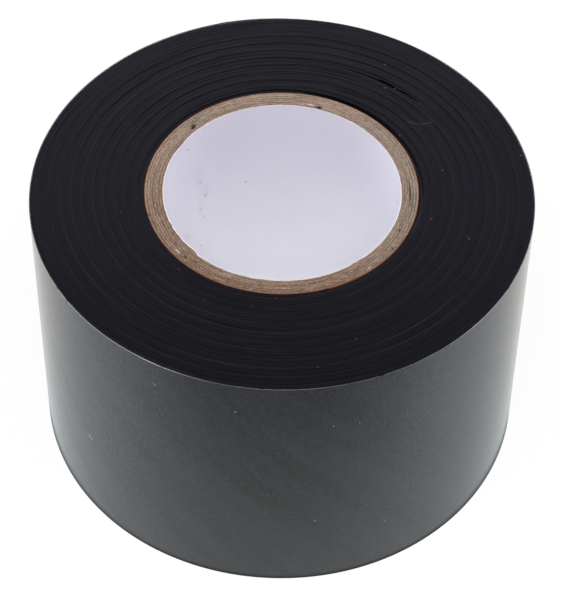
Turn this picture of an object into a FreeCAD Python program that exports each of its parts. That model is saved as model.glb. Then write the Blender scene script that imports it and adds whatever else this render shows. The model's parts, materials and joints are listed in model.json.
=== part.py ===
"""A roll of electrical tape: PVC film wound on a spiral-wound card core lined with white paper.

Millimetres. The roll stands on one end: +Z runs up its axis and the origin is the middle of its lower end.
The film runs outwards clockwise, seen from above, and its free end, the tail, points clockwise too.
"""

import FreeCAD, Part
import math
import os

# Driving dimensions
tape_width = 50.0
roll_diameter = 80.5  # over the outermost turn, where the tail begins
core_bore = 38.0

# The core: a paper liner and kraft plies, each one strip wound as a helix
liner_paper = 0.15
kraft_paper = 0.43
kraft_plies = 6
glue_line = 0.02  # between one layer of paper and the next, and under the first turn of tape
ply_lead = 130.0  # rise of a helical joint in one turn round the core; the helix is left-handed
liner_joint = 0.25  # gap left where an edge of the liner meets the next turn of its strip
ply_joint = 0.4  # the same gap in a kraft ply
liner_joint_angle = 226.0  # where the liner's joint meets the upper end, in degrees from +X
ply_joint_angles = (74.0, 136.0, 357.0, 223.0, 325.0, 195.0)  # and each kraft ply's, from the inside out

# The tape
film = 0.15  # PVC film with its adhesive
film_start_angle = 20.0  # where the film begins on the core, in degrees from +X
climb = 1.2  # how far the film takes to climb onto its own square end, once round
knife_feed = 1.7  # how far in the slitting knife moved in one turn of the roll, which left a spiral
knife_mark = 0.1  # depth of that spiral at the foot of its step
dished_band = 0.7  # the first turns, which sit back from the upper end of the roll
dish_depth = 0.35
slack_radius = 30.1  # a slack place where two turns stand apart at the upper end
slack_from = 45.0
slack_to = 66.0
slack_width = 0.25
slack_depth = 3.0

# The tail, the free end that peels up
tail_length = 22.0
tail_root_angle = 106.0  # where the tail leaves the stuck turns, in degrees from +X
adhesive_gap = 0.05  # between the tail and the turn under it
root_gap = 0.03  # between the tail's root and the film that it carries on from

# Sizes that follow
roll_radius = roll_diameter / 2
bore_radius = core_bore / 2
first_ply_radius = bore_radius + liner_paper + glue_line
ply_step = kraft_paper + glue_line
core_radius = first_ply_radius + kraft_plies * ply_step - glue_line
winding_bore_radius = core_radius + glue_line
quarter = 90.0


def point(radius, degrees, centre=(0.0, 0.0), z=0.0):
    """The point at this radius and angle about a centre."""
    a = math.radians(degrees)
    return FreeCAD.Vector(centre[0] + radius * math.cos(a), centre[1] + radius * math.sin(a), z)


def arc(radius, start, end, centre=(0.0, 0.0), z=0.0):
    """An arc between two angles, through the angle half way."""
    middle = (start + end) / 2
    ends = [point(radius, a, centre, z) for a in (start, middle, end)]
    return Part.Arc(*ends).toShape()


def prism(edges, z, height):
    """A closed outline raised from z."""
    face = Part.Face(Part.Wire(Part.__sortEdges__(edges)))
    face.translate(FreeCAD.Vector(0, 0, z))
    return face.extrude(FreeCAD.Vector(0, 0, height))


def ring(inner, outer, z, height):
    """A plain tube."""
    foot = FreeCAD.Vector(0, 0, z)
    return Part.makeCylinder(outer, height, foot).cut(Part.makeCylinder(inner, height, foot))


def twisted_bar(inner, outer, gap, top_angle):
    """A bar that winds round the axis at the plies' lead: the space of one helical joint.

    It runs past both ends of the core and both faces of the ply.
    """
    past = outer - inner
    overrun = tape_width / 10
    height = tape_width + 2 * overrun
    turn = 360.0 / ply_lead
    foot_angle = top_angle + turn * (tape_width + overrun)
    r_in = inner - past
    r_out = outer + past
    half = gap / 2
    corners = [(r_in, -half), (r_out, -half), (r_out, half), (r_in, half), (r_in, -half)]
    outline = Part.makePolygon([FreeCAD.Vector(x, y, -overrun) for x, y in corners])
    outline.rotate(FreeCAD.Vector(), FreeCAD.Vector(0, 0, 1), foot_angle)
    axis = Part.Wire(Part.makeLine(FreeCAD.Vector(0, 0, -overrun), FreeCAD.Vector(0, 0, height - overrun)))
    straight_sided = 0.0
    left_handed = True
    helix = Part.Wire(Part.makeHelix(ply_lead, height, outer, straight_sided, left_handed))
    helix.rotate(FreeCAD.Vector(), FreeCAD.Vector(0, 0, 1), foot_angle)
    helix.translate(FreeCAD.Vector(0, 0, -overrun))
    sweep = Part.BRepOffsetAPI.MakePipeShell(axis)
    sweep.setAuxiliarySpine(helix, True, 0)
    sweep.add(outline)
    sweep.build()
    sweep.makeSolid()
    return sweep.shape()


def wound_paper(inner, paper, gap, top_angle):
    """One strip of paper wound as a helix whose edges stand a small gap apart."""
    outer = inner + paper
    tube = ring(inner, outer, 0.0, tape_width)
    return tube.cut(twisted_bar(inner, outer, gap, top_angle)).Solids[0]


def spiral_arcs(radius, start_angle, pitch, quarters):
    """A spiral that closes in by one pitch each counter-clockwise turn, as tangent quarter arcs.

    The centres of the arcs walk round a square with sides of a quarter pitch, in the middle of which
    the axis lies. Gives (centre, radius, start angle) for each quarter.
    """
    side = pitch / 4
    first, second = point(side / 2, start_angle), point(side / 2, start_angle + quarter)
    centre = first - second
    arc_radius = radius - side / 2
    arcs = []
    for k in range(quarters):
        start = start_angle + k * quarter
        arcs.append(((centre.x, centre.y), arc_radius, start))
        centre = centre + point(side, start + quarter)
        arc_radius -= side
    return arcs


def outer_turn():
    """The outline of the stuck turns: one turn of the film's spiral, from the tail's root inwards."""
    return spiral_arcs(roll_radius, tail_root_angle, film, 4)


def slack_turn():
    """The lens of air where a slack turn stands off the one inside it."""
    middle = (slack_from + slack_to) / 2
    ends = [point(slack_radius, a) for a in (slack_from, slack_to)]
    inner_edge = arc(slack_radius, slack_from, slack_to)
    outer_edge = Part.Arc(ends[0], point(slack_radius + slack_width, middle), ends[1]).toShape()
    return prism([inner_edge, outer_edge], tape_width - slack_depth, slack_depth)


def film_start():
    """The thin wedge of air under the film where, once round, it climbs onto its own square end."""
    foot_angle = film_start_angle + math.degrees(climb / winding_bore_radius)
    corners = [
        point(core_radius, film_start_angle),
        point(winding_bore_radius + film, film_start_angle),
        point(winding_bore_radius, foot_angle),
        point(core_radius, film_start_angle),
    ]
    return prism(Part.makePolygon(corners).Edges, 0.0, tape_width)


def knife_marks():
    """What the slitting knife took off the upper end: a spiral of shallow cones, one step to each feed.

    Going out from the axis, each cone falls from the level of the end to the depth of the mark, and a
    step brings it back up. The first turn starts outside the roll and the last ends inside the dish.
    """
    start = roll_radius + knife_feed
    quarters = math.ceil(4 * (start - winding_bore_radius) / knife_feed)
    foot = tape_width - knife_mark
    above = tape_width + knife_mark
    cuts = []
    for centre, outer, angle in spiral_arcs(start, tail_root_angle, knife_feed, quarters):
        inner = outer - knife_feed
        places = [(outer, above), (outer, foot), (inner, tape_width), (inner, above), (outer, above)]
        section = Part.Face(Part.makePolygon([point(r, angle, centre, z) for r, z in places]))
        cuts.append(section.revolve(point(0.0, 0.0, centre), FreeCAD.Vector(0, 0, 1), quarter))
    return cuts


def winding():
    """The turns of tape that stay stuck down, as the block that their adhesive makes of them."""
    arcs = outer_turn()
    edges = [arc(r, start, start + quarter, c) for c, r, start in arcs]
    spiral = Part.Wire(edges)
    ends = [spiral.Vertexes[0].Point, spiral.Vertexes[-1].Point]
    block = prism(edges + [Part.makeLine(*ends)], 0.0, tape_width)
    block = block.cut(Part.makeCylinder(winding_bore_radius, tape_width))
    dish = ring(core_radius, winding_bore_radius + dished_band, tape_width - dish_depth, dish_depth)
    return block.cut([film_start(), dish, slack_turn()] + knife_marks()).Solids[0]


def tail():
    """The free end of the film, lying along the last quarter of the turn under it."""
    centre, under, start = outer_turn()[-1]
    inner = under + adhesive_gap
    outer = inner + film
    root = start + quarter - math.degrees(root_gap / outer)
    tip = root - math.degrees(tail_length / outer)
    edges = [
        arc(inner, tip, root, centre),
        arc(outer, tip, root, centre),
        Part.makeLine(point(inner, tip, centre), point(outer, tip, centre)),
        Part.makeLine(point(inner, root, centre), point(outer, root, centre)),
    ]
    return prism(edges, 0.0, tape_width)


def core():
    """The liner and the kraft plies, from the inside out, by name."""
    pieces = {"core_liner": wound_paper(bore_radius, liner_paper, liner_joint, liner_joint_angle)}
    for k in range(kraft_plies):
        inner = first_ply_radius + k * ply_step
        pieces["core_ply_%d" % (k + 1)] = wound_paper(inner, kraft_paper, ply_joint, ply_joint_angles[k])
    return pieces


def main():
    os.makedirs("parts", exist_ok=True)
    pieces = core()
    pieces["tape_winding"] = winding()
    pieces["tape_tail"] = tail()
    for name, shape in pieces.items():
        shape.exportStep("parts/%s.step" % name)


main()
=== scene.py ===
import json
import math

import bpy
import numpy as np
from mathutils import Matrix, Vector, noise


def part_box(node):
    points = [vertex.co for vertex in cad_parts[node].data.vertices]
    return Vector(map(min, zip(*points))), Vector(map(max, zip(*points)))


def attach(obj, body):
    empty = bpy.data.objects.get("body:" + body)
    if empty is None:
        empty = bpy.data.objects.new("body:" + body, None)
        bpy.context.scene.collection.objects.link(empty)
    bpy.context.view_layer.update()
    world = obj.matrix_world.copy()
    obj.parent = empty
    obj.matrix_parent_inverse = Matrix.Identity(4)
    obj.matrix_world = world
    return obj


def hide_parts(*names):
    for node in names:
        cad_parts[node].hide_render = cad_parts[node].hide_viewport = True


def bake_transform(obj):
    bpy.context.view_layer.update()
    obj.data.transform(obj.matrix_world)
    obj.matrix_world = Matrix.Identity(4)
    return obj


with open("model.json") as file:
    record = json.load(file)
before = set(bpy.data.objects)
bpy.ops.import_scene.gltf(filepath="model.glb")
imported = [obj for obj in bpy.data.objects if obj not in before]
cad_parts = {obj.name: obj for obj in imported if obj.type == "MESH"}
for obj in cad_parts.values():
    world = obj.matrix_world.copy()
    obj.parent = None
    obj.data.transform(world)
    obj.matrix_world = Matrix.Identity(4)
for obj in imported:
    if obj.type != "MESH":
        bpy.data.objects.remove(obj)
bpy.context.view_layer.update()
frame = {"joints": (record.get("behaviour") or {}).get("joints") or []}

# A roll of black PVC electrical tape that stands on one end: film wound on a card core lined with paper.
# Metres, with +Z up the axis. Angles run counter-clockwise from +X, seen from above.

MM = 0.001
FULL_TURN = 2 * math.pi
ON_AXIS = (0.0, 0.0)


# ---------------------------------------------------------------- sizes read from the frame
def outer_radius(node):
    """Half the width of a node's box."""
    low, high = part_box(node)
    return (high.x - low.x) / 2


wind_low, wind_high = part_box("tape_winding")
PEEL = Vector(next(j for j in frame["joints"] if j["name"] == "tail_peel")["pos_m"])
WIDTH = wind_high.z - wind_low.z
TOP = WIDTH / MM  # height of the upper end in mm, for the tables of marks
LINER_OUT = outer_radius("core_liner")
CORE_R = outer_radius("core_ply_6")
ROOT_ANGLE = math.atan2(PEEL.y, PEEL.x)
TAIL_R = math.hypot(PEEL.x, PEEL.y)  # outer face of the tail at its root

# ---------------------------------------------------------------- sizes of paper and film
PLIES = 6
LINER = 0.15 * MM
GLUE = 0.02 * MM
PLY_STEP = (CORE_R - LINER_OUT) / PLIES
KRAFT = PLY_STEP - GLUE
PLY_LEAD = 130 * MM  # rise of a helical joint in one turn; the helix is left-handed
LINER_JOINT = 226.0  # where its joint meets the upper end, in degrees from +X
LINER_GAP = 0.25 * MM  # how far its joint stands open
PLY_JOINTS = (74.0, 136.0, 357.0, 223.0, 325.0, 195.0)  # the same for each kraft ply, from the inside out
PLY_GAPS = (0.4, 0.4, 0.1, 0.15, 0.25, 0.25)  # and how far they stand open, in mm
GREY_PLIES = (1, 3, 4)  # counted from 0, from the inside out
CORE_OFF = Vector((-0.13, 0.36)) * MM  # the core sits a little off the middle of the wound roll
RIM_REACH = 1.5 * MM  # how far down a paper's rim is torn and bent

FILM = 0.15 * MM
TURN_THICK = FILM * 0.96  # one turn fills this much of its pitch
HAIR = 0.012 * MM  # what keeps a face just inside the space that it has
TAIL_GAP = 0.05 * MM
TAIL_LENGTH = 22 * MM
ROOT_GAP = 0.03 * MM  # between the tail's root and the film that it carries on from
NECKING = 0.22 * MM  # the tail was pulled as it was cut, so its tip is a little narrower
ROLL_R = TAIL_R - TAIL_GAP
WIND_R = CORE_R + GLUE
FILM_START = math.radians(20.0)
SHOULDER = 0.1 * MM  # fall of the end over its outermost turns
UNEVEN = 0.15 * MM  # how much one turn may stand above another

# ---------------------------------------------------------------- marks of the knife, dish and slack turn
KNIFE_FEED = 1.72 * MM
KNIFE_MARK = 0.09 * MM
KNIFE_OFF = Vector((-0.14, 0.359)) * MM  # the knife's spiral is centred where the core is
KNIFE_PHASE = 0.90
DISH_BAND = 0.75 * MM
DISH_DEPTH = 0.44 * MM
DISH_MIDDLE = math.radians(33)  # the dish is deepest on this side
SLACK_R = 29.98 * MM
SLACK_DEPTH = 2.0 * MM
# in degrees: each stretch of the slack turn opens over the first two angles and closes over the last two
SLACK_STRETCHES = ((43.8, 45.6, 51.2, 52.0), (53.0, 53.6, 57.0, 61.0))
SLACK_WIDEST = (52.6, 53.0, 56.6, 58.4)
SLACK_TRACE = (58.0, 60.0, 65.0, 70.0)


# ---------------------------------------------------------------- building node trees
class Graph:
    """Adds nodes to one node tree and joins them."""

    def __init__(self, tree):
        self.tree = tree

    def put(self, socket, value):
        if isinstance(value, bpy.types.NodeSocket):
            self.tree.links.new(value, socket)
        else:
            socket.default_value = value

    def add(self, kind, inputs=None, **settings):
        node = self.tree.nodes.new(kind)
        for name, value in settings.items():
            setattr(node, name, value)
        for name, value in (inputs or {}).items():
            self.put(node.inputs[name], value)
        return node

    def math(self, operation, *values):
        """The operation on one or two values, or on more, one after another."""
        if len(values) > 2:
            values = (self.math(operation, *values[:-1]), values[-1])
        node = self.add("ShaderNodeMath", operation=operation)
        for socket, value in zip(node.inputs, values):
            self.put(socket, value)
        return node.outputs[0]

    def vector(self, operation, *values, scale=None):
        node = self.add("ShaderNodeVectorMath", operation=operation)
        for socket, value in zip(node.inputs, values):
            self.put(socket, value)
        if scale is not None:
            self.put(node.inputs["Scale"], scale)
        return node.outputs["Value"] if operation in ("LENGTH", "DISTANCE") else node.outputs[0]

    def split(self, vector):
        """The x, y and z of a vector."""
        return self.add("ShaderNodeSeparateXYZ", {0: vector}).outputs

    def join(self, x=0.0, y=0.0, z=0.0):
        return self.add("ShaderNodeCombineXYZ", {0: x, 1: y, 2: z}).outputs[0]

    def noise(self, vector, scale, detail=2.0, roughness=0.5):
        values = {"Vector": vector, "Scale": scale, "Detail": detail, "Roughness": roughness}
        return self.add("ShaderNodeTexNoise", values).outputs[0]

    def span(self, value, low, high, to_low=0.0, to_high=1.0, smooth=True):
        """Maps low..high to to_low..to_high and stays at the ends outside that."""
        values = {"Value": value, "From Min": low, "From Max": high, "To Min": to_low, "To Max": to_high}
        kind = "SMOOTHSTEP" if smooth else "LINEAR"
        return self.add("ShaderNodeMapRange", values, interpolation_type=kind).outputs[0]

    def window(self, value, opens, open_by, shuts, shut_by):
        """Rises from 0 to 1 between the first two values and falls back between the last two."""
        return self.math("MINIMUM", self.span(value, opens, open_by), self.span(value, shut_by, shuts))

    def blend(self, factor, first, second):
        node = self.add("ShaderNodeMix", data_type="RGBA", blend_type="MIX")
        self.put(node.inputs[0], factor)
        self.put(node.inputs[6], first)
        self.put(node.inputs[7], second)
        return node.outputs[2]

    def polar(self, position, centre=ON_AXIS):
        """Radius about a centre and angle in turns, from a position in metres."""
        shift = (centre[0], centre[1], 0.0)
        flat = self.vector("MULTIPLY", self.vector("SUBTRACT", position, shift), (1.0, 1.0, 0.0))
        x, y, _ = self.split(flat)
        return self.vector("LENGTH", flat), self.math("DIVIDE", self.math("ARCTAN2", y, x), FULL_TURN)

    def compass(self, turns):
        """How far north and east an angle in turns points, -1 to 1."""
        angle = self.math("MULTIPLY", turns, FULL_TURN)
        return self.math("SINE", angle), self.math("COSINE", angle)

    def knife_phase(self, position):
        """0 just outside a step that the slitting knife left, rising to 1 just inside the next one."""
        radius, turns = self.polar(position, KNIFE_OFF)
        above_zero = 10  # whole feeds, which drop out again
        return self.math("FRACT", self.math("ADD", self.math("DIVIDE", radius, KNIFE_FEED), turns,
                                            above_zero - KNIFE_PHASE))


def colour(red, green, blue):
    """A colour given as it looks on a screen, 0 to 255, as the linear colour that a shader takes."""
    values = [v / 255 for v in (red, green, blue)]
    linear = [v / 12.92 if v <= 0.04045 else ((v + 0.055) / 1.055) ** 2.4 for v in values]
    return (*linear, 1.0)


def at(radius, degrees, height, centre=ON_AXIS):
    """A place given by its radius and height in mm and its angle, about a centre in metres."""
    a = math.radians(degrees)
    x, y = centre[0] + radius * MM * math.cos(a), centre[1] + radius * MM * math.sin(a)
    return Vector((x, y, height * MM))


# ---------------------------------------------------------------- what the materials share
def start_material(name):
    """A new material, the graph of its nodes, and the place on the piece that its patterns read."""
    material = bpy.data.materials.new(name)
    material.use_nodes = True
    graph = Graph(material.node_tree)
    return material, graph, graph.add("ShaderNodeTexCoord").outputs["Object"]


def surface(graph, base, rough, relief, depth, strength, specular=0.5):
    """Gives the material its colour, its roughness, its gloss and a relief of this depth."""
    shader = graph.tree.nodes["Principled BSDF"]
    graph.put(shader.inputs["Base Color"], base)
    graph.put(shader.inputs["Roughness"], rough)
    shader.inputs["Specular IOR Level"].default_value = specular
    values = {"Height": relief, "Distance": depth, "Strength": strength}
    graph.put(shader.inputs["Normal"], graph.add("ShaderNodeBump", values).outputs[0])


def stained(graph, base, layers):
    """The base with other colours laid over it in turn: (where, how much of it there, the colour)."""
    for where, share, tone in layers:
        base = graph.blend(graph.math("MULTIPLY", where, share), base, colour(*tone))
    return base


def streaks(graph, place, length, width, detail=3.0, rough=0.6, centre=ON_AXIS):
    """Noise drawn out round the axis: cells of this length along the circle and this width across it."""
    radius, turns = graph.polar(place, centre)
    north, east = graph.compass(turns)
    cells = 30 * MM / length  # the length is true on a circle of 30 mm radius
    along = graph.join(graph.math("MULTIPLY", east, cells), graph.math("MULTIPLY", north, cells),
                       graph.math("DIVIDE", radius, width))
    return graph.noise(along, 1.0, detail, rough)


def climbing_streaks(graph, place, in_turn, climb, upward, layer, rough):
    """Noise in streaks that climb round the wall: cells in a turn, and cells for each metre of height."""
    turns = graph.polar(place)[1]
    height = graph.split(place)[2]
    along = graph.math("ADD", graph.math("MULTIPLY", turns, in_turn), graph.math("MULTIPLY", height, climb))
    return graph.noise(graph.join(along, graph.math("MULTIPLY", height, upward), layer), 1.0, 3.0, rough)


def mark(graph, place, centre, turn, size):
    """1 inside a small patch of this size, its length lying at this turn in degrees, and 0 outside."""
    values = {"Vector": place, "Location": centre, "Rotation": (0.0, 0.0, math.radians(turn)), "Scale": size}
    local = graph.add("ShaderNodeMapping", values, vector_type="TEXTURE").outputs[0]
    return graph.span(graph.vector("LENGTH", local), 1.0, 0.55)


def marks(graph, place, patches):
    """The union of several patches."""
    return graph.math("MAXIMUM", *[mark(graph, place, *patch) for patch in patches])


def end_patches(rows, centre=ON_AXIS):
    """Patches along a circle on the upper end: (radius, angle, length, width), in mm and degrees."""
    return [(at(r, a, TOP, centre), a + 90, (length / 2 * MM, width / 2 * MM, 1.0 * MM))
            for r, a, length, width in rows]


def wall_patches(radius, reach, rows, centre=ON_AXIS):
    """Patches on a wall, reaching this deep: (angle, height, width, upward size), in mm and degrees."""
    return [(at(radius / MM, a, up, centre), a + 90, (wide / 2 * MM, reach, tall / 2 * MM))
            for a, up, wide, tall in rows]


def roughened(graph, place, amount, size):
    """The place pushed about by noise, so that the outline of a mark is uneven."""
    values = {"Vector": place, "Scale": 1 / size, "Detail": 3.0}
    push = graph.add("ShaderNodeTexNoise", values).outputs["Color"]
    evenly = graph.vector("SUBTRACT", push, (0.5, 0.5, 0.5))
    return graph.vector("ADD", place, graph.vector("SCALE", evenly, scale=amount))


# ---------------------------------------------------------------- the film
def film_face():
    """The outer face of black PVC film: satin, finely embossed, with a few scuffs and specks of dust, its
    pale grain laid on more towards the sides as painted sheen and a painted highlight along its upper edge.
    """
    material, graph, place = start_material("pvc_film_face")
    mottle = graph.noise(place, 1 / (9 * MM), 4.0, 0.65)
    fine = graph.noise(place, 1 / (0.42 * MM), 3.0, 0.65)
    slant = climbing_streaks(graph, place, 90.0, 260.0, 60.0, 0.0, 0.55)
    clouds = climbing_streaks(graph, place, 30.0, 110.0, 22.0, 4.0, 0.5)
    sideways, _, height = graph.split(place)
    # the pale fine grain is real grain, laid on more strongly towards the sides as painted sheen
    grain_sheen_share = graph.span(graph.math("ABSOLUTE", sideways), 6 * MM, 30 * MM, 0.34, 0.85)
    uneven = roughened(graph, place, 0.6 * MM, 0.5 * MM)
    scuffs = marks(graph, uneven, wall_patches(ROLL_R, 1.0 * MM, (
        (221.0, 19.1, 1.4, 0.84), (220.3, 19.4, 0.64, 1.2), (241.8, 44.8, 0.44, 0.4),
        (260.5, 43.8, 0.44, 0.4), (281.9, 40.2, 0.4, 0.4), (278.4, 15.9, 0.3, 0.52),
        (287.8, 39.6, 0.36, 0.4), (295.5, 11.3, 0.4, 0.48))))
    pits = marks(graph, uneven, wall_patches(ROLL_R, 1.0 * MM, (
        (292.3, 49.6, 0.4, 0.8), (291.3, 49.1, 0.6, 0.32), (290.6, 48.7, 0.32, 0.32),
        (272.7, 33.4, 0.4, 0.4), (304.3, 18.4, 0.36, 0.4), (266.0, 6.0, 0.4, 0.36),
        (232.0, 30.0, 0.32, 0.4), (318.5, 21.0, 0.32, 0.36))))
    dust = graph.span(graph.noise(place, 1 / (0.33 * MM), 0.0), 0.82, 0.88)
    base = graph.blend(graph.span(mottle, 0.3, 0.7), colour(3, 6, 7), colour(9, 13, 14))
    base = stained(graph, base, (
        (graph.span(clouds, 0.35, 0.65), 0.6, (24, 29, 30)),
        (graph.span(slant, 0.35, 0.7), 0.3, (36, 41, 43)),
        (graph.span(fine, 0.42, 0.62), grain_sheen_share, (49, 54, 56)),
        (scuffs, 0.6, (132, 134, 132)),
        (pits, 0.9, (4, 5, 5)),
        (dust, 0.12, (150, 152, 150)),
    ))
    # painted highlight: a grey line along the upper edge, near white at the sides
    at_sides = graph.math("MAXIMUM", graph.span(sideways, 19 * MM, 33 * MM),
                          graph.span(sideways, -4 * MM, -20 * MM))
    rim_highlight_tone = graph.blend(at_sides, colour(108, 113, 116), colour(236, 240, 240))
    painted_rim_highlight = graph.math("MULTIPLY", graph.span(height, WIDTH - 0.24 * MM, WIDTH - 0.1 * MM),
                          graph.span(graph.noise(place, 1 / (7 * MM), 1.0), 0.3, 0.6, 0.25, 0.45))
    base = graph.blend(painted_rim_highlight, base, rim_highlight_tone)
    rough = graph.math("ADD", graph.span(mottle, 0.3, 0.7, 0.14, 0.155),
                       graph.span(slant, 0.3, 0.7, -0.008, 0.012),
                       graph.span(fine, 0.3, 0.7, -0.02, 0.02), graph.math("MULTIPLY", scuffs, 0.2))
    relief = graph.math("ADD", fine, graph.math("MULTIPLY", slant, 1.5), graph.math("MULTIPLY", clouds, 5.0))
    surface(graph, base, rough, relief, 0.012 * MM, 0.8)
    return material


def film_edge():
    """The slit edges of the film, wound into a face: dull, drawn into fine rings, with the knife's spiral,
    painted shade that deepens across each knife step and a painted highlight on its crest.
    """
    material, graph, place = start_material("pvc_slit_edge")
    phase = graph.knife_phase(place)
    turns_fine = streaks(graph, place, 26 * MM, 0.16 * MM, 2.0, 0.7, KNIFE_OFF)
    turns_wide = streaks(graph, place, 34 * MM, 0.75 * MM, 2.0, 0.5, KNIFE_OFF)
    grain = graph.noise(place, 1 / (0.4 * MM), 3.0, 0.6)
    # painted shade: darkest just inside each knife step, where the end lies deepest, and lightest just
    # outside it; fine rings and grain vary it at random
    shade = graph.math("MULTIPLY", graph.span(phase, 0.0, 1.0, 1.4, 0.6, smooth=False),
                       graph.span(turns_fine, 0.3, 0.7, 0.85, 1.15), graph.span(grain, 0.3, 0.7, 0.85, 1.15),
                       graph.span(turns_wide, 0.3, 0.7, 0.92, 1.08))
    base = graph.vector("MULTIPLY", graph.join(shade, shade, shade), colour(10, 9, 15)[:3])
    # painted highlight: a thin pale line on the crest just outside each knife step, weaker near the outer rim
    ridge = graph.math("MULTIPLY", graph.window(phase, 0.0, 0.03, 0.05, 0.13),
                       graph.span(turns_wide, 0.4, 0.65, 0.05, 0.5))
    radius = graph.polar(place)[0]
    inside_rim = graph.span(radius, ROLL_R - 2.6 * MM, ROLL_R - 4 * MM, 0.1, 1.0)
    uneven = roughened(graph, place, 0.25 * MM, 0.3 * MM)
    specks = marks(graph, uneven, end_patches((
        (29.0, 54.8, 0.6, 0.25), (33.7, 60.2, 0.35, 0.3), (22.85, 34.1, 0.4, 0.3),
        (24.21, 346.9, 0.4, 0.3), (26.13, 11.3, 0.4, 0.3), (30.85, 341.9, 0.4, 0.35),
        (30.3, 342.6, 0.5, 0.12), (39.36, 12.8, 0.16, 0.9), (23.0, 226.3, 0.3, 0.25),
        (25.52, 243.0, 0.12, 0.6), (22.35, 268.1, 0.14, 0.6), (24.4, 259.6, 0.12, 0.4),
        (32.14, 290.8, 0.5, 0.16), (34.1, 262.6, 0.14, 0.35), (25.88, 190.7, 0.25, 0.25),
        (36.2, 279.0, 0.3, 0.16), (26.9, 50.1, 0.25, 0.25))))
    bridge = marks(graph, uneven, end_patches(((29.97, 52.4, 0.45, 0.5), (29.9, 52.9, 0.3, 0.3))))
    # a hair of lint lies on the end: an arc of a circle, thinner than the film
    lint_radius = 3.6 * MM
    from_middle = graph.vector("DISTANCE", place, at(29.42, 40.4, TOP))
    off_lint = graph.math("ABSOLUTE", graph.math("SUBTRACT", from_middle, lint_radius))
    lint = graph.math("MULTIPLY", graph.span(off_lint, 0.05 * MM, 0.015 * MM),
                      mark(graph, place, at(27.47, 35.4, TOP), 8, (2.9 * MM, 1.5 * MM, 1.0 * MM)))
    base = stained(graph, base, (
        (ridge, inside_rim, (38, 36, 43)),
        (specks, 0.26, (146, 144, 146)),
        (bridge, 0.5, (120, 118, 124)),
        (lint, 0.25, (160, 157, 166)),
    ))
    groove = graph.math("MULTIPLY", graph.span(phase, 0.84, 0.96),
                        graph.span(turns_wide, 0.42, 0.6, 0.0, 0.4))
    rough = graph.math("ADD", graph.span(phase, 0.0, 1.0, 0.25, 0.29, smooth=False), groove,
                       graph.span(turns_fine, 0.3, 0.7, -0.04, 0.04))
    relief = graph.math("ADD", turns_fine, graph.math("MULTIPLY", grain, 0.5))
    surface(graph, base, rough, relief, 0.022 * MM, 0.7, specular=0.25)
    return material


def film_between():
    """What shows of one turn where its neighbour sits lower: dull black film with adhesive strings."""
    material, graph, place = start_material("pvc_between_turns")
    lines = streaks(graph, place, 12 * MM, 0.2 * MM, 2.0, 0.6)
    base = graph.blend(graph.span(lines, 0.3, 0.7), colour(4, 3, 6), colour(12, 11, 14))
    surface(graph, base, graph.span(lines, 0.3, 0.7, 0.6, 0.8), lines, 0.01 * MM, 0.5, specular=0.1)
    return material


def film_adhesive():
    """The inner face of the film, coated with rubber adhesive: black, tacky, with drag lines."""
    material, graph, place = start_material("pvc_adhesive")
    turns = graph.polar(place)[1]
    height = graph.split(place)[2]
    drawn = graph.join(graph.math("MULTIPLY", turns, 60.0), graph.math("MULTIPLY", height, 1500.0))
    lines = graph.noise(drawn, 1.0, 4.0, 0.65)
    blotch = graph.noise(place, 1 / (3 * MM), 4.0, 0.6)
    base = graph.blend(graph.span(blotch, 0.35, 0.65), colour(19, 19, 21), colour(34, 33, 35))
    relief = graph.math("ADD", lines, blotch)
    surface(graph, base, graph.span(lines, 0.3, 0.7, 0.22, 0.42), relief, 0.02 * MM, 0.8)
    return material


def film_stretched():
    """The last half millimetre of the tail, which went pale where the film was stretched and cut off."""
    material, graph, place = start_material("pvc_stretched_end")
    strain = graph.noise(graph.vector("MULTIPLY", place, (1.0, 1.0, 3.0)), 1 / (0.5 * MM), 3.0, 0.7)
    base = graph.blend(graph.span(strain, 0.35, 0.65), colour(34, 38, 40), colour(92, 96, 98))
    surface(graph, base, graph.span(strain, 0.3, 0.7, 0.3, 0.5), strain, 0.03 * MM, 0.8)
    return material


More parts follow.
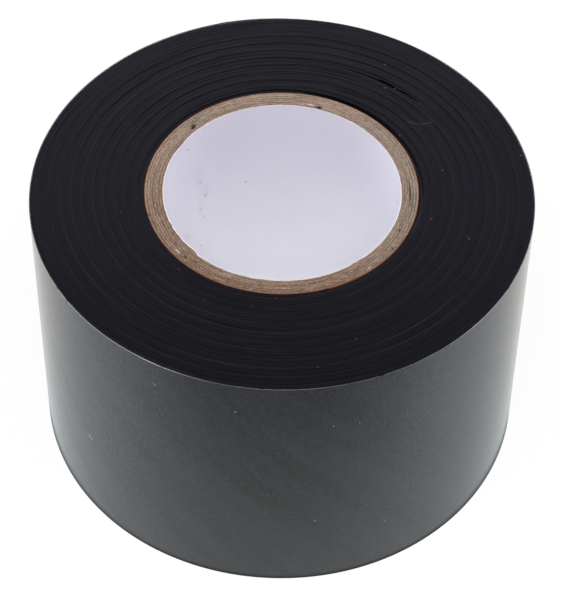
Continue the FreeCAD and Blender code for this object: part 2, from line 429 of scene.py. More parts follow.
# ---------------------------------------------------------------- the core's paper, and the table
def kraft_card(name, light, dark, layer_seed):
    """Kraft board seen on its cut end: fibres that run round the core, pale and dark, with scorched rims,
    painted shade at the front and in its holes, and painted light at the back.
    """
    material, graph, place = start_material(name)
    offset = graph.vector("ADD", place, (0.0, 0.0, layer_seed * 0.7 * MM))
    radius, turns = graph.polar(place, CORE_OFF)
    north, east = graph.compass(turns)
    broad = streaks(graph, offset, 11 * MM, 0.42 * MM, 3.0, 0.6, CORE_OFF)
    layer = streaks(graph, offset, 15 * MM, 0.4 * MM, 1.0, 0.5, CORE_OFF)
    thin = streaks(graph, offset, 2.6 * MM, 0.07 * MM, 3.0, 0.7, CORE_OFF)
    short = streaks(graph, offset, 1.3 * MM, 0.1 * MM, 2.0, 0.6, CORE_OFF)
    grain = graph.noise(offset, 1 / (0.24 * MM), 2.0, 0.6)
    # the glue between one ply and the next shows as a dark line here and there
    plies_out = graph.math("DIVIDE", graph.math("SUBTRACT", radius, LINER_OUT + GLUE / 2), PLY_STEP)
    within = graph.math("FRACT", plies_out)
    to_joint = graph.math("MINIMUM", within, graph.math("SUBTRACT", 1.0, within))
    glue_shows = graph.math("MAXIMUM", graph.span(layer, 0.44, 0.54, 0.12, 0.9),
                            graph.span(east, -0.5, -0.95, 0.0, 0.35))
    uneven = roughened(graph, place, 0.35 * MM, 0.35 * MM)
    teal = marks(graph, uneven, end_patches((
        (20.55, 134.0, 3.2, 0.62), (20.95, 129.5, 2.2, 0.4), (20.88, 357.4, 2.1, 0.42),
        (20.89, 352.0, 3.0, 0.44), (20.95, 345.6, 2.2, 0.38)), CORE_OFF))
    pale = marks(graph, uneven, end_patches((
        (20.86, 219.8, 1.7, 0.17), (21.29, 310.3, 1.1, 0.12), (19.68, 76.4, 1.5, 0.3),
        (20.2, 199.0, 1.6, 0.1)), CORE_OFF))
    # holes in the end are painted near black as painted shade inside them; the open slit below is joined to
    # them
    shaded_holes = marks(graph, uneven, end_patches((
        (20.69, 224.8, 0.9, 0.26), (20.46, 229.7, 1.1, 0.2), (21.52, 324.7, 0.34, 0.2),
        (21.59, 326.4, 0.36, 0.22), (20.43, 335.9, 0.7, 0.3), (20.91, 252.8, 0.3, 0.22),
        (21.3, 200.0, 0.8, 0.12), (20.2, 216.0, 0.9, 0.12), (20.9, 232.5, 1.4, 0.12),
        (21.2, 247.0, 0.3, 0.2), (19.6, 71.9, 1.3, 0.36), (20.24, 136.4, 1.0, 0.42)), CORE_OFF))
    # the third ply's outer edge stands open in a narrow slit
    off_line = graph.math("ABSOLUTE", graph.math("SUBTRACT", radius, 20.43 * MM))
    along_slit = graph.window(graph.math("MULTIPLY", turns, 360.0), -5.6, -4.9, 0.0, 11.0)
    slit = graph.math("MULTIPLY", along_slit, graph.span(off_line, 0.11 * MM, 0.05 * MM))
    shaded_holes = graph.math("MAXIMUM", shaded_holes, slit)
    base = graph.blend(graph.span(broad, 0.32, 0.68), dark, light)
    # painted shade darkens the end towards the front and its outer rim, and painted light makes it paler
    # towards the back; it is also greyer towards the right
    outwards = graph.span(radius, LINER_OUT + 0.6 * MM, CORE_R, 0.25, 0.8)
    base = stained(graph, base, (
        (graph.span(north, 0.1, -0.9), outwards, (108, 78, 57)),
        (graph.span(north, -0.2, 0.7), 0.22, (176, 162, 148)),
        (graph.span(east, 0.4, 0.9), 0.5, (140, 128, 114)),
        (graph.span(thin, 0.55, 0.7), 0.5, (192, 176, 157)),
        (graph.span(thin, 0.46, 0.32), 0.65, (84, 64, 50)),
        (graph.span(short, 0.48, 0.36), 0.55, (84, 62, 47)),
        (graph.span(short, 0.55, 0.68), 0.35, (196, 181, 163)),
        (graph.span(grain, 0.48, 0.36), 0.36, (84, 62, 47)),
        (graph.span(grain, 0.54, 0.66), 0.26, (200, 184, 166)),
        (graph.span(to_joint, 0.17, 0.04), glue_shows, (72, 50, 37)),
        (graph.span(radius, CORE_R - 0.17 * MM, CORE_R - 0.04 * MM), 0.85, (118, 68, 36)),
        (graph.span(radius, LINER_OUT + 0.14 * MM, LINER_OUT + 0.03 * MM), 0.4, (112, 88, 68)),
        (teal, graph.span(thin, 0.35, 0.6, 0.4, 0.9), (76, 96, 88)),
        (pale, 0.8, (222, 210, 192)),
        (shaded_holes, 0.92, (26, 20, 16)),
    ))
    fibres = graph.math("ADD", graph.math("MULTIPLY", thin, 1.4), grain)
    relief = graph.math("SUBTRACT", fibres, graph.math("MULTIPLY", shaded_holes, 1.5))
    surface(graph, base, graph.span(thin, 0.3, 0.7, 0.82, 0.96), relief, 0.07 * MM, 0.9, specular=0.25)
    return material


def liner_paper():
    """The white paper that lines the bore: smooth, faintly blue, with a few grey smudges and specks, and
    painted shade greying its upper part, most on the far side.
    """
    material, graph, place = start_material("white_liner_paper")
    cloud = graph.noise(place, 1 / (8 * MM), 3.0, 0.5)
    fibre = graph.noise(graph.vector("MULTIPLY", place, (1.0, 1.0, 3.0)), 1 / (0.7 * MM), 3.0, 0.6)
    patchy = graph.span(graph.noise(place, 1 / (0.5 * MM), 3.0, 0.7), 0.42, 0.68)
    bore = LINER_OUT - LINER
    smudges = marks(graph, roughened(graph, place, 2.6 * MM, 1.1 * MM), wall_patches(bore, 1.5 * MM, (
        (135.6, 38.6, 2.6, 7.0), (133.4, 34.0, 3.6, 5.0), (136.2, 30.2, 1.6, 5.0), (146.4, 26.9, 2.2, 3.2)),
        CORE_OFF))
    specks = marks(graph, roughened(graph, place, 0.3 * MM, 0.3 * MM), wall_patches(bore, 1.5 * MM, (
        (143.9, 47.1, 0.6, 0.65), (132.3, 33.3, 0.6, 0.8), (135.1, 37.0, 0.4, 0.6), (108.6, 32.4, 0.5, 0.6),
        (89.7, 41.7, 0.25, 0.3), (136.2, 21.6, 0.2, 0.8), (133.6, 28.2, 0.3, 0.6), (45.1, 36.2, 0.9, 0.12)),
        CORE_OFF))
    height = graph.split(place)[2]
    north = graph.compass(graph.polar(place, CORE_OFF)[1])[0]
    base = graph.blend(graph.span(cloud, 0.3, 0.7), colour(248, 248, 252), colour(250, 250, 254))
    base = stained(graph, base, (
        (graph.span(fibre, 0.35, 0.7), 0.12, (214, 214, 226)),
        (graph.math("MULTIPLY", smudges, patchy), 0.36, (150, 152, 166)),
        (specks, 0.62, (84, 84, 92)),
        # painted shade: greyer towards the upper rim, most on the far side of the bore
        (graph.span(height, WIDTH - 38 * MM, WIDTH - 3 * MM), graph.span(north, 0.2, 0.95, 0.18, 0.88),
         (206, 204, 213)),
        (graph.span(height, WIDTH - 0.3 * MM, WIDTH - 0.2 * MM), 0.25, (190, 176, 160)),
    ))
    surface(graph, base, graph.span(fibre, 0.3, 0.7, 0.62, 0.78), fibre, 0.02 * MM, 0.5, specular=0.3)
    return material


def floor_paper():
    """A white table that shows as white and keeps a soft shadow; what the roll mirrors of it is a painted
    reflection.
    """
    material, graph, place = start_material("white_table")
    nodes = material.node_tree.nodes
    nodes.remove(nodes["Principled BSDF"])
    cloud = graph.noise(place, 1 / (60 * MM), 2.0)
    tint = graph.blend(graph.span(cloud, 0.3, 0.7), (0.90, 0.90, 0.90, 1.0), (0.92, 0.92, 0.92, 1.0))
    matt = graph.add("ShaderNodeBsdfDiffuse", {"Color": tint, "Roughness": 0.5}).outputs[0]
    path = graph.add("ShaderNodeLightPath").outputs
    sideways, ahead, _ = graph.split(place)
    radius = graph.polar(place)[0]
    # painted reflection: what the roll mirrors of the table glows, with painted shade that fades it towards
    # the front and in the crack under its wall
    reflection_shade = graph.math("MULTIPLY", graph.span(ahead, -ROLL_R - 50 * MM, -ROLL_R + 8 * MM, 0.3, 1.0),
                           graph.span(radius, ROLL_R + 0.05 * MM, ROLL_R + 0.7 * MM, 0.3, 1.0))
    level = graph.math("MAXIMUM", reflection_shade, path["Is Camera Ray"])
    # painted tint of that reflection, bluer to the sides and warm further back; the camera sees it white
    cool_reflection_tint = graph.blend(graph.span(graph.math("ABSOLUTE", sideways), 8 * MM, 45 * MM),
                       (0.975, 0.985, 0.995, 1.0), (0.90, 0.972, 1.0, 1.0))
    reflection_tint = graph.blend(graph.span(ahead, -20 * MM, 15 * MM), cool_reflection_tint, (1.0, 0.995, 0.96, 1.0))
    reflection_tint = graph.blend(path["Is Camera Ray"], reflection_tint, (1.0, 1.0, 1.0, 1.0))
    white = graph.add("ShaderNodeEmission", {"Color": reflection_tint, "Strength": level}).outputs[0]
    seen = graph.math("MAXIMUM", path["Is Camera Ray"], path["Is Glossy Ray"])
    share = graph.math("MULTIPLY", seen, 0.9)
    both = graph.add("ShaderNodeMixShader", {0: share, 1: matt, 2: white}).outputs[0]
    graph.put(nodes["Material Output"].inputs["Surface"], both)
    return material


# ---------------------------------------------------------------- the wound turns, made by Geometry Nodes
def winding_tree(wall, slit_edge):
    """One length of film wound flat on itself: the rule that the whole pack of turns follows."""
    tree = bpy.data.node_groups.new("wound_film", "GeometryNodeTree")
    tree.interface.new_socket("Geometry", in_out="OUTPUT", socket_type="NodeSocketGeometry")
    identifiers = {}
    for name, kind, value in (
        ("Turns", "NodeSocketFloat", 10.0), ("Steps in a Turn", "NodeSocketInt", 90),
        ("First Radius", "NodeSocketFloat", WIND_R), ("Last Radius", "NodeSocketFloat", ROLL_R),
        ("Film", "NodeSocketFloat", FILM), ("Width", "NodeSocketFloat", WIDTH),
        ("Start Angle", "NodeSocketFloat", FILM_START), ("Core Off Centre", "NodeSocketVector", (0, 0, 0)),
        ("Knife Mark", "NodeSocketFloat", KNIFE_MARK), ("Dish Band", "NodeSocketFloat", DISH_BAND),
        ("Dish Depth", "NodeSocketFloat", DISH_DEPTH), ("Uneven", "NodeSocketFloat", UNEVEN),
        ("Slack Radius", "NodeSocketFloat", SLACK_R), ("Slack Depth", "NodeSocketFloat", SLACK_DEPTH),
    ):
        socket = tree.interface.new_socket(name, in_out="INPUT", socket_type=kind)
        socket.default_value = value
        identifiers[name] = socket.identifier
    graph = Graph(tree)
    size = graph.add("NodeGroupInput").outputs
    spiral = graph.add("GeometryNodeCurveSpiral", {
        "Resolution": size["Steps in a Turn"], "Rotations": size["Turns"],
        "Start Radius": size["First Radius"], "End Radius": size["Last Radius"],
        "Height": 0.0, "Reverse": False}).outputs[0]
    start = graph.join(z=graph.math("SUBTRACT", size["Start Angle"], math.pi / 2))
    turned = graph.add("GeometryNodeTransform", {"Geometry": spiral, "Rotation": start}).outputs[0]
    place = graph.add("GeometryNodeInputPosition").outputs[0]
    radius, turns = graph.polar(place)
    north, east = graph.compass(turns)
    inner_share = graph.span(radius, size["First Radius"], size["Last Radius"], 1.0, 0.0, smooth=False)
    shift = graph.vector("SCALE", size["Core Off Centre"], scale=inner_share)
    shifted = graph.add("GeometryNodeSetPosition", {"Geometry": turned, "Offset": shift}).outputs[0]

    # the edges of each turn sit back by an amount of their own, least at the front
    round_roll, turn_to_turn = 1.6, 7.3  # how fast that changes
    turn = graph.math("DIVIDE", graph.add("GeometryNodeInputIndex").outputs[0], size["Steps in a Turn"])
    own = graph.join(graph.math("MULTIPLY", east, round_roll), graph.math("MULTIPLY", north, round_roll),
                     graph.math("MULTIPLY", turn, turn_to_turn))
    calm = graph.span(north, -0.7, 0.2, 0.3, 1.0)
    uneven = graph.math("MULTIPLY", graph.noise(own, 1.0, 1.0), size["Uneven"], calm)

    # the knife's spiral is worn in places and fades out in the outermost turns at the back
    phase = graph.knife_phase(place)
    worn = graph.span(graph.noise(graph.vector("SCALE", own, scale=0.9), 1.0, 1.0), 0.3, 0.7, 0.6, 1.2)
    outermost = graph.span(radius, ROLL_R - 4.6 * MM, ROLL_R - 3.4 * MM)
    faded = graph.math("MULTIPLY", graph.span(north, 0.2, 0.7), outermost, 0.9)
    step = graph.math("MULTIPLY", phase, size["Knife Mark"], worn, graph.math("SUBTRACT", 1.0, faded))
    shoulder = graph.span(radius, ROLL_R - 3.0 * MM, ROLL_R, 0.0, SHOULDER)

    # the dish round the core, deepest on one side
    from_bore = graph.math("SUBTRACT", graph.polar(place, CORE_OFF)[0], size["First Radius"])
    angle = graph.math("MULTIPLY", turns, FULL_TURN)
    facing = graph.math("COSINE", graph.math("SUBTRACT", angle, DISH_MIDDLE))
    side = graph.math("MAXIMUM", graph.span(facing, 0.5, 0.88), graph.span(north, -0.2, 0.6, 0.08, 0.34))
    in_dish = graph.span(from_bore, size["Dish Band"], graph.math("MULTIPLY", size["Dish Band"], 0.8))
    dish = graph.math("MULTIPLY", in_dish, size["Dish Depth"], side)

    # the slack turn sank where it stands apart, in two stretches and a faint trace that taper off
    degrees = graph.math("MULTIPLY", turns, 360.0)
    stretches = [graph.window(degrees, *angles) for angles in SLACK_STRETCHES]
    trace = graph.math("MULTIPLY", graph.window(degrees, *SLACK_TRACE), 0.06)
    open_here = graph.math("MAXIMUM", *stretches, trace)
    winding_in = graph.span(degrees, 62.0, 44.0, -0.1 * MM, 0.2 * MM, smooth=False)
    line = graph.math("ADD", size["Slack Radius"], winding_in)
    away = graph.math("ABSOLUTE", graph.math("SUBTRACT", radius, line))
    half_width = graph.math("ADD", graph.span(degrees, 44.0, 48.0, 0.1 * MM, 0.14 * MM),
                            graph.math("MULTIPLY", graph.window(degrees, *SLACK_WIDEST), 0.15 * MM))
    slack = graph.math("MULTIPLY", graph.math("LESS_THAN", away, half_width), open_here, size["Slack Depth"])

    # the lower end steps the other way, so that the film keeps its width
    cut_away = graph.math("MULTIPLY", phase, size["Knife Mark"])
    rise = graph.math("ADD", graph.math("SUBTRACT", size["Knife Mark"], cut_away), uneven)
    drop = graph.math("ADD", step, uneven, shoulder, dish, slack)
    kept = shifted
    for name, value in (("drop", drop), ("rise", rise)):
        values = {"Geometry": kept, "Name": name, "Value": value}
        store = graph.add("GeometryNodeStoreNamedAttribute", values, data_type="FLOAT", domain="POINT")
        kept = store.outputs[0]
    upright = graph.add("GeometryNodeSetCurveNormal", {"Curve": kept}, mode="Z_UP").outputs[0]
    section = graph.add("GeometryNodeCurvePrimitiveQuadrilateral", {
        "Width": size["Film"], "Height": size["Width"]}).outputs[0]
    film = graph.add("GeometryNodeCurveToMesh", {
        "Curve": upright, "Profile Curve": section, "Fill Caps": True}).outputs[0]
    height = graph.split(graph.add("GeometryNodeInputPosition").outputs[0])[2]
    for side_of_middle, name, way in (("GREATER_THAN", "drop", -1.0), ("LESS_THAN", "rise", 1.0)):
        amount = graph.add("GeometryNodeInputNamedAttribute", {"Name": name}, data_type="FLOAT").outputs[0]
        film = graph.add("GeometryNodeSetPosition", {
            "Geometry": film, "Selection": graph.math(side_of_middle, height, 0.0),
            "Offset": graph.join(z=graph.math("MULTIPLY", amount, way))}).outputs[0]
    half = graph.join(z=graph.math("MULTIPLY", size["Width"], 0.5))
    raised = graph.add("GeometryNodeTransform", {"Geometry": film, "Translation": half}).outputs[0]
    values = {"Geometry": raised, "Shade Smooth": True}
    smooth = graph.add("GeometryNodeSetShadeSmooth", values, domain="FACE").outputs[0]
    corner = graph.math("GREATER_THAN", graph.add("GeometryNodeInputMeshEdgeAngle").outputs[0], 0.5)
    values = {"Geometry": smooth, "Selection": corner, "Shade Smooth": False}
    crisp = graph.add("GeometryNodeSetShadeSmooth", values, domain="EDGE").outputs[0]
    real = graph.add("GeometryNodeRealizeInstances", {"Geometry": crisp}).outputs[0]
    walled = graph.add("GeometryNodeSetMaterial", {"Geometry": real, "Material": wall}).outputs[0]
    slope = graph.math("ABSOLUTE", graph.split(graph.add("GeometryNodeInputNormal").outputs[0])[2])
    ends = graph.math("GREATER_THAN", slope, 0.3)
    edged = graph.add("GeometryNodeSetMaterial", {
        "Geometry": walled, "Selection": ends, "Material": slit_edge}).outputs[0]
    graph.add("NodeGroupOutput", {"Geometry": edged})
    return tree, identifiers


def run_tree(name, tree, identifiers, sizes):
    """The plain mesh that a tree gives with these sizes."""
    maker = bpy.data.objects.new(name + "_maker", bpy.data.meshes.new(name + "_start"))
    bpy.context.scene.collection.objects.link(maker)
    modifier = maker.modifiers.new("wind", "NODES")
    modifier.node_group = tree
    for label, value in sizes.items():
        modifier[identifiers[label]] = value
    evaluated = maker.evaluated_get(bpy.context.evaluated_depsgraph_get())
    made = bpy.data.meshes.new_from_object(evaluated)
    maker.modifiers.clear()
    bpy.data.objects.remove(maker)
    made.name = name
    piece = bpy.data.objects.new(name, made)
    bpy.context.scene.collection.objects.link(piece)
    return piece


# ---------------------------------------------------------------- mesh code
def mesh_piece(name, points, faces, materials, sharp_degrees, which=None):
    """A mesh object from points, faces and a material number for each face, with its sharp edges marked."""
    mesh = bpy.data.meshes.new(name)
    mesh.from_pydata([tuple(p) for p in points], [], faces)
    for material in materials:
        mesh.materials.append(material)
    if which is not None:
        mesh.polygons.foreach_set("material_index", which)
    mesh.validate()
    mesh.shade_smooth()
    mesh.set_sharp_from_angle(angle=math.radians(sharp_degrees))
    piece = bpy.data.objects.new(name, mesh)
    bpy.context.scene.collection.objects.link(piece)
    return piece


def skin(count, around, closed_ends):
    """Faces between this many equal closed outlines that follow each other, their two ends filled or not."""
    faces = []
    for i in range(count - 1):
        for j in range(around):
            k = (j + 1) % around
            faces.append((i * around + j, i * around + k, (i + 1) * around + k, (i + 1) * around + j))
    if closed_ends:
        faces.append(tuple(reversed(range(around))))
        faces.append(tuple((count - 1) * around + j for j in range(around)))
    return faces


def bump_at(degrees, where, reach):
    """1 at an angle, falling to 0 a little way either side of it."""
    off = (degrees - where + 180) % 360 - 180
    return math.exp(-(off / reach) ** 2)


def band(degrees, start, end, soft_start, soft_end):
    """1 between two angles, with a soft start and end."""
    rise = min(1.0, max(0.0, (degrees - start) / soft_start))
    fall = min(1.0, max(0.0, (end - degrees) / soft_end))
    return rise * fall


def film_section(thick, corner, rows):
    """The outline of the film's cross-section: (across, up) pairs, its corners rounded."""
    half = thick / 2
    steps = 3
    close = 0.05 * MM  # rows just beside the corners keep the flat part flat
    levels = [corner + close] + [WIDTH * n / rows for n in range(1, rows)] + [WIDTH - corner - close]
    outline = []
    for side, start in ((1, -90), (1, 0), (-1, 90), (-1, 180)):
        z = WIDTH - corner if start in (0, 90) else corner
        for s in range(steps + 1):
            a = math.radians(start + 90 * s / steps)
            outline.append((side * (half - corner) + corner * math.cos(a), z + corner * math.sin(a)))
        if start == -90:
            outline += [(half, level) for level in levels]
        if start == 90:
            outline += [(-half, level) for level in reversed(levels)]
    return outline


def outer_turn(face, edge):
    """The outermost stuck turn, from under the tail's root once round to the root, with its nicked rim."""
    steps = 720
    section = film_section(TURN_THICK, 0.06 * MM, 16)
    nicks = ((292.2, 0.28, 0.24), (292.9, 0.2, 0.08), (299.9, 0.4, 0.06), (211.2, 0.4, 0.12),
             (215.6, 0.35, 0.11), (244.0, 0.4, 0.08), (266.0, 0.5, 0.07), (331.0, 0.6, 0.1), (30.0, 0.8, 0.1))
    rim, foot = 0.6 * MM, 0.7 * MM  # how far a nick and the chip reach down and up the wall
    points = []
    for i in range(steps + 1):
        angle = ROOT_ANGLE + FULL_TURN * (1 - i / steps)
        middle = ROLL_R - FILM * (1 - i / steps) - FILM / 2
        degrees = math.degrees(angle) % 360
        nick = sum(depth * MM * bump_at(degrees, where, reach) for where, reach, depth in nicks)
        out = Vector((math.cos(angle), math.sin(angle)))
        ripple = noise.noise(Vector((out.x * 5, out.y * 5, 3.1))) * HAIR
        chip = 0.5 * MM * bump_at(degrees, 351.0, 0.45)
        for across, z in section:
            wave = (1 + noise.noise(Vector((out.x * 2.2, out.y * 2.2, z * 38)))) * HAIR
            near_top = max(0.0, (z - WIDTH + rim) / rim)
            near_foot = max(0.0, 1 - z / foot)
            r = middle + across - wave - chip * 0.16 * near_foot
            up = z - near_top * (nick + SHOULDER * 0.5 + HAIR + ripple) + near_foot * chip * 0.5
            points.append((out.x * r, out.y * r, up))
    faces = skin(steps + 1, len(section), True)
    heights = [z for across, z in section]
    on_end = []
    for corners in faces:
        own = [heights[v % len(section)] for v in corners]
        flat = len(corners) == 4 and (min(own) > WIDTH - 0.02 * MM or max(own) < 0.02 * MM)
        on_end.append(1 if flat else 0)
    faces = [tuple(reversed(corners)) for corners in faces]
    return mesh_piece("tape_outer_turn", points, faces, (face, edge), 50.0, on_end)


def free_end(face, edge, adhesive, stretched):
    """The tail: the last stretch of the film, a hair off the turn under it, its free end cut by hand."""
    steps = 110
    rows = 40
    root = ROOT_ANGLE - ROOT_GAP / TAIL_R
    points = []
    for i in range(steps + 1):
        share = i / steps
        for j in range(rows + 1):
            z = WIDTH * j / rows
            ragged = noise.noise(Vector((z * 420, 1.7, 0.0))) * 0.22 * MM
            ragged += noise.noise(Vector((z * 90, 5.2, 0.0))) * 0.3 * MM
            length = TAIL_LENGTH - 0.35 * MM + ragged
            angle = root - share * length / TAIL_R
            inner = ROLL_R - FILM * (1 - share * TAIL_LENGTH / (FULL_TURN * TAIL_R)) + HAIR
            lift = 0.0 if j in (0, rows) else 0.004 * MM * noise.noise(Vector((share * 9, z * 160, 0.0)))
            trim = 0.03 * MM * (1 + noise.noise(Vector((share * 14, 8.0 + j / rows, 0.0))))
            trim += NECKING * min(1.0, share * 1.4) + SHOULDER * 0.5
            up = z - trim if j == rows else z + trim if j == 0 else z
            for r in (inner + lift, inner + TURN_THICK + lift):
                points.append((math.cos(angle) * r, math.sin(angle) * r, up))
    on_face, on_edge, on_adhesive, on_stretched = range(4)
    across = 2 * (rows + 1)
    last = steps * across
    faces = {}
    for i in range(steps):
        outside = on_stretched if i >= steps - 2 else on_face
        for j in range(rows):
            a = i * across + 2 * j
            b = a + across
            faces[a, a + 2, b + 2, b] = on_adhesive
            faces[a + 1, b + 1, b + 3, a + 3] = outside
        low = i * across
        top = low + 2 * rows
        faces[low, low + across, low + across + 1, low + 1] = on_edge
        faces[top, top + 1, top + across + 1, top + across] = on_edge
    for a in range(0, 2 * rows, 2):
        faces[a, a + 1, a + 3, a + 2] = on_edge
        faces[last + a, last + a + 2, last + a + 3, last + a + 1] = on_edge
    return mesh_piece("tape_free_end", points, list(faces), (face, edge, adhesive, stretched), 40.0,
                      list(faces.values()))


def wound_strip(name, inner, paper, gap, joint_degrees, columns, material, rim):
    """One strip of paper wound as a left-handed helix, its edges a small gap apart.

    rim(degrees, radius share) gives how far the upper rim is lowered and how far it is pushed outwards.
    """
    rows = 36
    across = 4
    outer = inner + paper
    heights = np.linspace(0, WIDTH, rows + 1)
    section = [(inner, z) for z in heights]
    section += [(inner + paper * k / across, WIDTH) for k in range(1, across)]
    section += [(outer, z) for z in reversed(heights)]
    section += [(outer - paper * k / across, 0.0) for k in range(1, across)]
    around = len(section)
    open_angle = gap / (inner + paper / 2)
    first = math.radians(joint_degrees) + open_angle / 2
    step = (FULL_TURN - open_angle) / columns
    points = []
    for i in range(columns + 1):
        for r, z in section:
            helix = FULL_TURN * (WIDTH - z) / PLY_LEAD
            angle = first + helix + step * i
            up = z
            if z > WIDTH - RIM_REACH:
                lowered, pushed = rim(math.degrees(angle) % 360, (r - inner) / paper)
                top_share = (z - WIDTH + RIM_REACH) / RIM_REACH
                up = z - lowered * top_share
                r = r + pushed * top_share
            points.append((CORE_OFF.x + math.cos(angle) * r, CORE_OFF.y + math.sin(angle) * r, up))
    faces = [tuple(reversed(corners)) for corners in skin(columns + 1, around, False)]
    # the two cut ends of the strip, which face each other across the joint
    for start, turned_over in ((0, False), (columns * around, True)):
        for near in range(rows):
            far = around - across - near
            corners = (start + near, start + near + 1, start + far - 1, start + far)
            if near == 0:
                foot = tuple(start + around - k for k in range(across - 1, 0, -1))
                corners = (start, start + 1, start + far - 1, start + far) + foot
            if near == rows - 1:
                head = tuple(start + k for k in range(rows, rows + across + 1))
                corners = (start + near,) + head + (start + far,)
            faces.append(corners if turned_over else tuple(reversed(corners)))
    return mesh_piece(name, points, faces, (material,), 40.0)


def inner_burr(degrees):
    """How far the rim of the bore stands inwards, where the saw left the first papers bent over."""
    ragged = 0.75 + 0.4 * noise.noise(Vector((degrees * 0.35, 0.0, 2.0)))
    burr = 0.30 * band(degrees, 140, 227.2, 40, 0.9) * ragged
    lumps = ((150, 5, 0.16), (306.5, 1.2, 0.12), (310.0, 1.0, 0.14), (222, 2.0, 0.10), (262, 3.0, 0.07))
    burr += sum(size * bump_at(degrees, where, reach) for where, reach, size in lumps)
    return (burr + 0.03 * noise.noise(Vector((degrees * 0.8, 4.0, 0.0)))) * MM


def ply_rim(number):
    """The upper rim of one kraft ply: torn fibres, and the dents that this ply has."""
    def rim(degrees, share):
        torn = noise.noise(Vector((degrees * 0.9, share * 2.2, number * 5.0)))
        torn += 0.6 * noise.noise(Vector((degrees * 2.7, share * 5.0, number * 9.0)))
        lowered = (0.055 + 0.045 * torn) * MM
        pushed = HAIR * noise.noise(Vector((degrees * 1.3, share, number * 3.0)))
        if number == 0:
            pushed -= inner_burr(degrees) * (1 - share)
            lowered += 0.5 * MM * band(degrees, 71.5, 75.0, 0.8, 0.8) * (share > 0.2)
        if number == 1:
            lowered += 0.8 * MM * bump_at(degrees, 136.2, 1.0)
        if number == 2:
            lowered += 0.9 * MM * band(degrees, 354.6, 360.0, 1.0, 0.01) * (share > 0.9)
            lowered += 0.9 * MM * band(degrees, 0.0, 3.6, 0.01, 2.5) * (share > 0.9)
        if number == 5:
            lowered += 0.35 * MM * bump_at(degrees, 195.0, 1.4)
            pushed -= 0.10 * MM * bump_at(degrees, 195.0, 1.6) * share
        return lowered, pushed

    return rim


def liner_rim(degrees, share):
    """The liner's upper rim, cut a little lower than the kraft and bent in with the first ply."""
    torn = noise.noise(Vector((degrees * 1.9, share, 31.0)))
    torn += 0.5 * noise.noise(Vector((degrees * 5.0, share, 11.0)))
    return (0.16 + 0.07 * torn) * MM, -inner_burr(degrees)


# ---------------------------------------------------------------- camera, light and floor
def make_camera():
    """In front of the roll and 47 degrees up, looking down at the middle of its upper end."""
    distance = 383.25 * MM
    elevation = math.radians(47.0381)
    tilt_degrees, swing_degrees, lean_degrees = -2.7426, 0.007, -0.7931
    forward = Vector((0, math.cos(elevation), -math.sin(elevation)))
    right = Vector((1, 0, 0))
    up = right.cross(forward)
    place = Vector((0, 0, WIDTH)) - forward * distance
    tilt = Matrix.Rotation(math.radians(tilt_degrees), 3, right)
    forward, up = tilt @ forward, tilt @ up
    swing = Matrix.Rotation(math.radians(swing_degrees), 3, up)
    forward, right = swing @ forward, swing @ right
    lean = Matrix.Rotation(math.radians(lean_degrees), 3, forward)
    right, up = lean @ right, lean @ up
    data = bpy.data.cameras.new("camera")
    data.sensor_width = 36
    data.lens = 144.4854
    data.shift_y = 0.01076
    camera = bpy.data.objects.new("camera", data)
    camera.matrix_world = Matrix((
        (right.x, up.x, -forward.x, place.x),
        (right.y, up.y, -forward.y, place.y),
        (right.z, up.z, -forward.z, place.z),
        (0, 0, 0, 1),
    ))
    bpy.context.scene.collection.objects.link(camera)
    bpy.context.scene.camera = camera


def soft_light(name, place, size, watts):
    """A large square lamp that faces the roll."""
    data = bpy.data.lights.new(name, "AREA")
    data.shape = "SQUARE"
    data.size = size
    data.energy = watts
    lamp = bpy.data.objects.new(name, data)
    lamp.location = place
    lamp.rotation_euler = (Vector((0, 0, WIDTH / 2)) - Vector(place)).to_track_quat("-Z", "Y").to_euler()
    bpy.context.scene.collection.objects.link(lamp)


def make_world():
    """White all round for the camera; as light, pale at the level of the table and dimmer overhead."""
    world = bpy.data.worlds.new("studio")
    bpy.context.scene.world = world
    world.use_nodes = True
    graph = Graph(world.node_tree)
    background = world.node_tree.nodes["Background"]
    x, y, z = graph.split(graph.add("ShaderNodeTexCoord").outputs["Generated"])
    overhead = graph.span(z, 0.67, 0.80, 1.0, 0.0)
    behind_camera = graph.span(y, -0.9, 0.1, 0.45, 1.0)
    leftward = graph.span(x, -0.6, 0.6, 1.0, 0.8)
    level = graph.math("MULTIPLY", overhead, behind_camera, leftward)
    seen = graph.add("ShaderNodeLightPath").outputs["Is Camera Ray"]
    graph.put(background.inputs["Color"], graph.blend(seen, (1.0, 0.95, 1.12, 1.0), (1.0, 1.0, 1.0, 1.0)))
    graph.put(background.inputs["Strength"], graph.math("MAXIMUM", level, seen))


def make_floor(material):
    """The table, a hair below the roll."""
    side = 2.5
    below = -0.02 * MM
    corners = [(-side, -side, below), (side, -side, below), (side, side, below), (-side, side, below)]
    mesh = bpy.data.meshes.new("table")
    mesh.from_pydata(corners, [], [(0, 1, 2, 3)])
    mesh.materials.append(material)
    table = bpy.data.objects.new("table", mesh)
    bpy.context.scene.collection.objects.link(table)


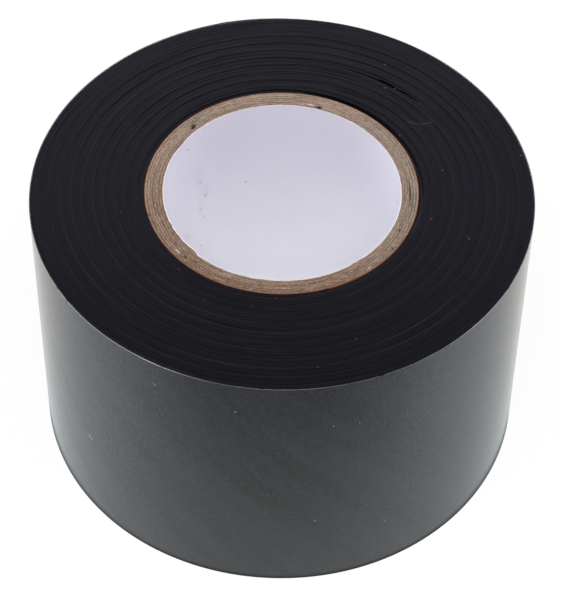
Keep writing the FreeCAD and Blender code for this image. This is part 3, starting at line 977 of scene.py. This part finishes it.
# ---------------------------------------------------------------- putting it together
face, edge, between, adhesive = film_face(), film_edge(), film_between(), film_adhesive()
kraft_brown = kraft_card("kraft_brown", colour(154, 128, 106), colour(120, 93, 73), 1)
kraft_grey = kraft_card("kraft_grey", colour(154, 134, 115), colour(122, 103, 87), 4)
paper = liner_paper()

whole_turns = (ROLL_R - FILM - WIND_R - FILM) / FILM
part_turn = ((FILM_START - ROOT_ANGLE) / FULL_TURN) % 1.0  # so that the last inner turn ends under the root
turns = round(whole_turns - part_turn) + part_turn
tree, identifiers = winding_tree(between, edge)
inner_turns = run_tree("tape_turns", tree, identifiers, {
    "Turns": turns, "Steps in a Turn": 180, "First Radius": WIND_R + FILM / 2,
    "Last Radius": ROLL_R - 1.5 * FILM, "Film": TURN_THICK, "Width": WIDTH, "Start Angle": FILM_START,
    "Core Off Centre": (CORE_OFF.x, CORE_OFF.y, 0.0), "Knife Mark": KNIFE_MARK, "Dish Band": DISH_BAND,
    "Dish Depth": DISH_DEPTH, "Uneven": UNEVEN, "Slack Radius": SLACK_R, "Slack Depth": SLACK_DEPTH,
})
last_turn = outer_turn(face, edge)
for piece in (inner_turns, last_turn):
    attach(piece, "roll")
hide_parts("tape_winding")

tail = free_end(face, edge, adhesive, film_stretched())
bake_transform(tail)
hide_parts("tape_tail")

liner = wound_strip("core_white_liner", LINER_OUT - LINER, LINER, LINER_GAP, LINER_JOINT, 360,
                    paper, liner_rim)
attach(liner, "roll")
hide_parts("core_liner")
for number, joint in enumerate(PLY_JOINTS):
    grey = number in GREY_PLIES
    ply = wound_strip("core_kraft_ply_%d" % (number + 1), LINER_OUT + GLUE + number * PLY_STEP, KRAFT,
                      PLY_GAPS[number] * MM, joint, 240, kraft_grey if grey else kraft_brown, ply_rim(number))
    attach(ply, "roll")
    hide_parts("core_ply_%d" % (number + 1))

make_camera()
make_world()
make_floor(floor_paper())
soft_light("lamp_front", (0.0, -0.66, 1.36), 0.6, 14.6)
soft_light("lamp_left", (-0.85, -0.45, 1.15), 0.9, 5.6)
soft_light("lamp_right", (0.9, -0.35, 1.15), 0.9, 5.2)
bpy.context.scene.view_settings.view_transform = "Standard"
